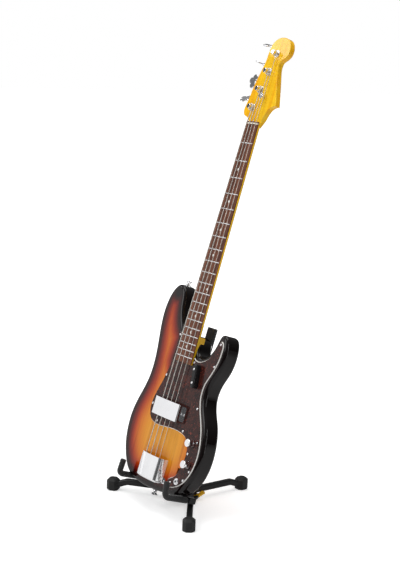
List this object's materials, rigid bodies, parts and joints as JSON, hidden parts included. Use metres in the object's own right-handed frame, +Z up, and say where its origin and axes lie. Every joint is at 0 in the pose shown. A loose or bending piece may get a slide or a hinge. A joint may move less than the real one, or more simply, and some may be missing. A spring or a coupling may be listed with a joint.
{
  "type": "bass guitar on stand",
  "caption": "Electric bass guitar with a sunburst body, dark pickguard and chrome covers, leaning on a small black folding tripod stand.",
  "frame": {"origin": "middle of the whole object's box, on the floor", "axes": "+Z up, guitar faces -Y, treble side +X"},
  "size_m": [0.3642, 0.4114, 1.1485],
  "materials": {
    "sunburst": "gloss",
    "maple": "gloss",
    "rosewood": "satin",
    "tortoise": "gloss",
    "chrome": "polished",
    "nickel": "satin",
    "string_steel": "satin",
    "pearl": "satin",
    "black_plastic": "satin",
    "stand_paint": "satin",
    "foam": "matte",
    "rubber": "matte",
    "yellow_plastic": "satin",
    "bone": "satin"
  },
  "bodies": {
    "stand": {"hub_base": "stand_paint", "hub_cap": "stand_paint", "leg_pins": "nickel", "hub_pins": "nickel", "crossbar": "stand_paint", "leg_rear": "stand_paint", "foot_rear": "rubber"},
    "left_leg": {"leg_left": "stand_paint", "foot_left": "rubber"},
    "right_leg": {"leg_right": "stand_paint", "foot_right": "rubber"},
    "upright": {"column_tube": "stand_paint", "column_sleeve": "black_plastic"},
    "backrest": {"backrest_bar": "stand_paint", "backrest_pad": "foam"},
    "left_yoke": {"yoke_arm_left": "stand_paint", "yoke_foam_left": "foam"},
    "right_yoke": {"yoke_arm_right": "stand_paint", "yoke_foam_right": "foam"},
    "lever": {"release_lever": "yellow_plastic"},
    "guitar": {"body_wood": "sunburst", "pickguard": "tortoise", "neck": "maple", "fingerboard": "rosewood", "nut": "bone", "truss_rod": "nickel", "neck_plate": "chrome", "bridge_plate": "chrome", "pickup_cover": "chrome", "bridge_cover": "chrome", "finger_rest": "black_plastic", "output_jack": "chrome", "frets": "nickel", "position_dots": "pearl", "tuner_plates": "chrome", "tuner_bushings": "chrome", "tuner_screws": "chrome", "string_tree": "chrome", "neck_screws": "chrome", "bridge_saddles": "chrome", "saddle_screws": "nickel", "face_screws": "chrome", "strap_buttons": "chrome", "pickup_coils": "black_plastic", "pots": "nickel", "string_e": "string_steel", "string_a": "string_steel", "string_d": "string_steel", "string_g": "string_steel"},
    "volume": {"volume_knob": "chrome"},
    "tone": {"tone_knob": "chrome"},
    "key_e": {"tuner_key_e": "chrome"},
    "post_e": {"tuner_post_e": "chrome"},
    "key_a": {"tuner_key_a": "chrome"},
    "post_a": {"tuner_post_a": "chrome"},
    "key_d": {"tuner_key_d": "chrome"},
    "post_d": {"tuner_post_d": "chrome"},
    "key_g": {"tuner_key_g": "chrome"},
    "post_g": {"tuner_post_g": "chrome"}
  },
  "joints": [
    {"name": "left_leg_fold", "type": "hinge", "parent": "stand", "child": "left_leg", "pos_m": [-0.024, -0.0664, 0.025], "axis": [0, 0, 1], "range_deg": [-119, 0]},
    {"name": "right_leg_fold", "type": "hinge", "parent": "stand", "child": "right_leg", "pos_m": [0.024, -0.0664, 0.025], "axis": [0, 0, 1], "range_deg": [0, 119]},
    {"name": "upright_fold", "type": "hinge", "parent": "stand", "child": "upright", "pos_m": [0, -0.11371, 0.06055], "axis": [1, 0, 0], "range_deg": [-68, 0]},
    {"name": "backrest_slide", "type": "slide", "parent": "upright", "child": "backrest", "axis": [0, 0.3074, 0.9516], "range_m": [-0.09, 0]},
    {"name": "left_yoke_swivel", "type": "hinge", "parent": "stand", "child": "left_yoke", "pos_m": [-0.1, -0.12477, 0.04258], "axis": [0, -0.9516, 0.3074], "range_deg": [-80, 90]},
    {"name": "right_yoke_swivel", "type": "hinge", "parent": "stand", "child": "right_yoke", "pos_m": [0.1, -0.12477, 0.04258], "axis": [0, -0.9516, 0.3074], "range_deg": [-90, 75]},
    {"name": "lever_press", "type": "hinge", "parent": "stand", "child": "lever", "pos_m": [0.014, -0.0574, 0.0058], "axis": [1, 0, 0], "range_deg": [-20, 0], "stiffness_Nm_per_rad": 0.02},
    {"name": "guitar_lift", "type": "slide", "parent": "stand", "child": "guitar", "axis": [0, 0.3074, 0.9516], "range_m": [0, 0.3]},
    {"name": "tuner_e_key", "type": "hinge", "parent": "guitar", "child": "key_e", "pos_m": [-0.02035, 0.14004, 0.98153], "axis": [-0.974, 0.0697, 0.2157], "continuous": true},
    {"name": "tuner_e_post", "type": "hinge", "parent": "guitar", "child": "post_e", "pos_m": [-0.023, 0.12379, 0.97481], "axis": [0, -0.9516, 0.3074], "continuous": true},
    {"name": "tuner_a_key", "type": "hinge", "parent": "guitar", "child": "key_a", "pos_m": [-0.00935, 0.15418, 1.02531], "axis": [-0.974, 0.0697, 0.2157], "continuous": true},
    {"name": "tuner_a_post", "type": "hinge", "parent": "guitar", "child": "post_a", "pos_m": [-0.012, 0.13793, 1.01858], "axis": [0, -0.9516, 0.3074], "continuous": true},
    {"name": "tuner_d_key", "type": "hinge", "parent": "guitar", "child": "key_d", "pos_m": [0.00165, 0.16848, 1.06956], "axis": [-0.974, 0.0697, 0.2157], "continuous": true},
    {"name": "tuner_d_post", "type": "hinge", "parent": "guitar", "child": "post_d", "pos_m": [-0.001, 0.15222, 1.06283], "axis": [0, -0.9516, 0.3074], "continuous": true},
    {"name": "tuner_g_key", "type": "hinge", "parent": "guitar", "child": "key_g", "pos_m": [0.01265, 0.18277, 1.1138], "axis": [-0.974, 0.0697, 0.2157], "continuous": true},
    {"name": "tuner_g_post", "type": "hinge", "parent": "guitar", "child": "post_g", "pos_m": [0.01, 0.16651, 1.10708], "axis": [0, -0.9516, 0.3074], "continuous": true},
    {"name": "volume_turn", "type": "hinge", "parent": "guitar", "child": "volume", "pos_m": [0.1175, -0.14375, 0.19531], "axis": [0, -0.9516, 0.3074], "range_deg": [0, 270]},
    {"name": "tone_turn", "type": "hinge", "parent": "guitar", "child": "tone", "pos_m": [0.1235, -0.15942, 0.14677], "axis": [0, -0.9516, 0.3074], "range_deg": [0, 270]}
  ],
  "couplings": [
    {"joint": "tuner_e_post", "follows": "tuner_e_key", "ratio": 0.05},
    {"joint": "tuner_a_post", "follows": "tuner_a_key", "ratio": 0.05},
    {"joint": "tuner_d_post", "follows": "tuner_d_key", "ratio": 0.05},
    {"joint": "tuner_g_post", "follows": "tuner_g_key", "ratio": 0.05}
  ]
}
